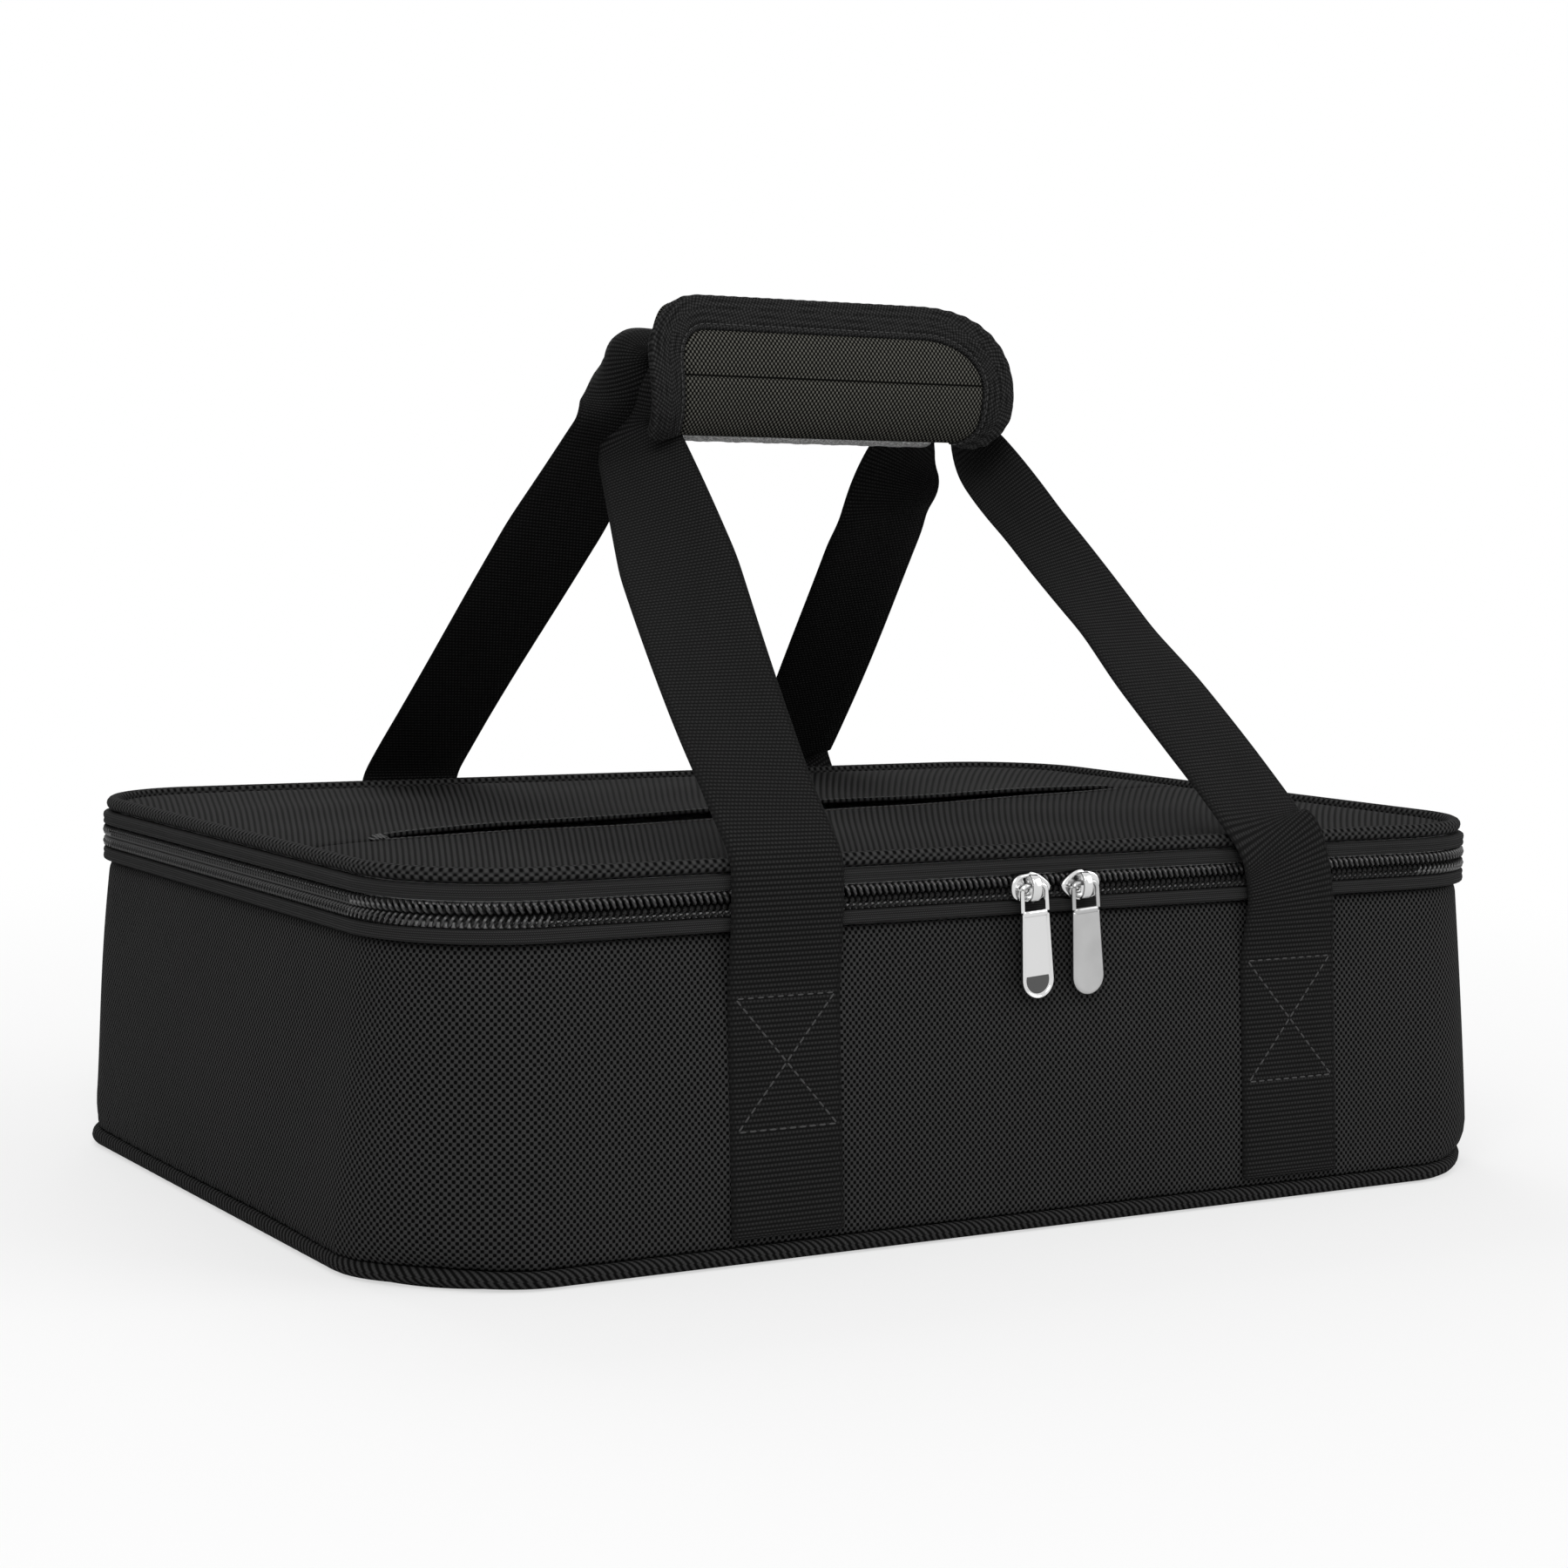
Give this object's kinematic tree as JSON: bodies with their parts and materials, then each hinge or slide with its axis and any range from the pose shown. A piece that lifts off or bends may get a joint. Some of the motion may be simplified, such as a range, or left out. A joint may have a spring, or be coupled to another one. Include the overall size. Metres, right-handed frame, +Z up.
{
  "type": "insulated casserole carrier",
  "caption": "Insulated rectangular casserole carrier with a zipped, fabric-hinged lid, a slanted lid pocket and webbing carry handles gathered in a padded hook-and-loop grip.",
  "frame": {"origin": "middle of the underside, on the surface that the carrier stands on", "axes": "+X along the long side, to the right as seen from the front; -Y is the front with the zip sliders; +Z up"},
  "size_m": [0.4032, 0.2938, 0.2828],
  "materials": {
    "oxford": "matte",
    "ribbed": "matte",
    "tape_cloth": "matte",
    "nylon": "satin",
    "webbing": "matte",
    "twill": "matte",
    "grip_cloth": "matte",
    "hook_tape": "matte",
    "foam": "matte",
    "board": "matte",
    "foil": "satin",
    "chrome": "polished"
  },
  "bodies": {
    "base": {"base_bottom_fabric": "oxford", "bottom_piping": "oxford", "base_stiffener_board": "board", "base_side_fabric": "oxford", "base_wall_foam": "foam", "base_floor_foam": "foam", "base_lining": "foil", "base_rim_binding": "twill", "lower_zip_tape": "tape_cloth", "lower_zip_coil": "nylon", "base_hinge_strip": "tape_cloth", "front_left_strap_anchor": "webbing", "front_right_strap_anchor": "webbing", "rear_left_strap_anchor": "webbing", "rear_right_strap_anchor": "webbing"},
    "lid": {"lid_front_panel": "ribbed", "lid_rear_panel": "ribbed", "lid_pocket_backing": "tape_cloth", "lid_piping": "ribbed", "lid_foam": "foam", "lid_lining": "foil", "upper_zip_tape": "tape_cloth", "upper_zip_coil": "nylon", "lid_hinge_strip": "tape_cloth"},
    "front_handle": {"front_left_strap_leg": "webbing", "front_right_strap_leg": "webbing", "front_handle_webbing": "webbing", "grip_pad": "foam", "grip_cover": "grip_cloth", "grip_hook_strip": "hook_tape"},
    "grip_flap": {"grip_flap_panel": "grip_cloth", "grip_flap_binding": "twill"},
    "rear_handle": {"rear_handle_webbing": "webbing"},
    "slider_left": {"slider_left": "chrome"},
    "pull_left": {"pull_left": "chrome"},
    "slider_right": {"slider_right": "chrome"},
    "pull_right": {"pull_right": "chrome"}
  },
  "joints": [
    {"name": "lid_hinge", "type": "hinge", "parent": "base", "child": "lid", "pos_m": [0, 0.1414, 0.10235], "axis": [-1, 0, 0], "range_deg": [0, 100], "deforming": ["front_left_strap_leg", "front_right_strap_leg"]},
    {"name": "front_handle_swing", "type": "hinge", "parent": "base", "child": "front_handle", "pos_m": [0, -0.14198, 0.077], "axis": [1, 0, 0], "range_deg": [0, 140]},
    {"name": "rear_handle_swing", "type": "hinge", "parent": "base", "child": "rear_handle", "pos_m": [0, 0.14198, 0.077], "axis": [-1, 0, 0], "range_deg": [0, 140]},
    {"name": "grip_flap_hinge", "type": "hinge", "parent": "front_handle", "child": "grip_flap", "pos_m": [0.0092, -0.0081, 0.2405], "axis": [1, 0, 0], "range_deg": [0, 95]},
    {"name": "slider_left_slide", "type": "slide", "parent": "base", "child": "slider_left", "axis": [-1, 0, 0], "range_m": [0, 0.048]},
    {"name": "slider_right_slide", "type": "slide", "parent": "base", "child": "slider_right", "axis": [1, 0, 0], "range_m": [0, 0.055]},
    {"name": "pull_left_swing", "type": "hinge", "parent": "slider_left", "child": "pull_left", "pos_m": [0.0015, -0.14485, 0.10325], "axis": [-1, 0, 0], "range_deg": [0, 110]},
    {"name": "pull_right_swing", "type": "hinge", "parent": "slider_right", "child": "pull_right", "pos_m": [0.02, -0.14485, 0.10325], "axis": [-1, 0, 0], "range_deg": [0, 110]}
  ],
  "couplings": [
    {"joint": "front_handle_swing", "follows": "lid_hinge", "ratio": 1.4},
    {"joint": "rear_handle_swing", "follows": "lid_hinge", "ratio": 1.4}
  ]
}
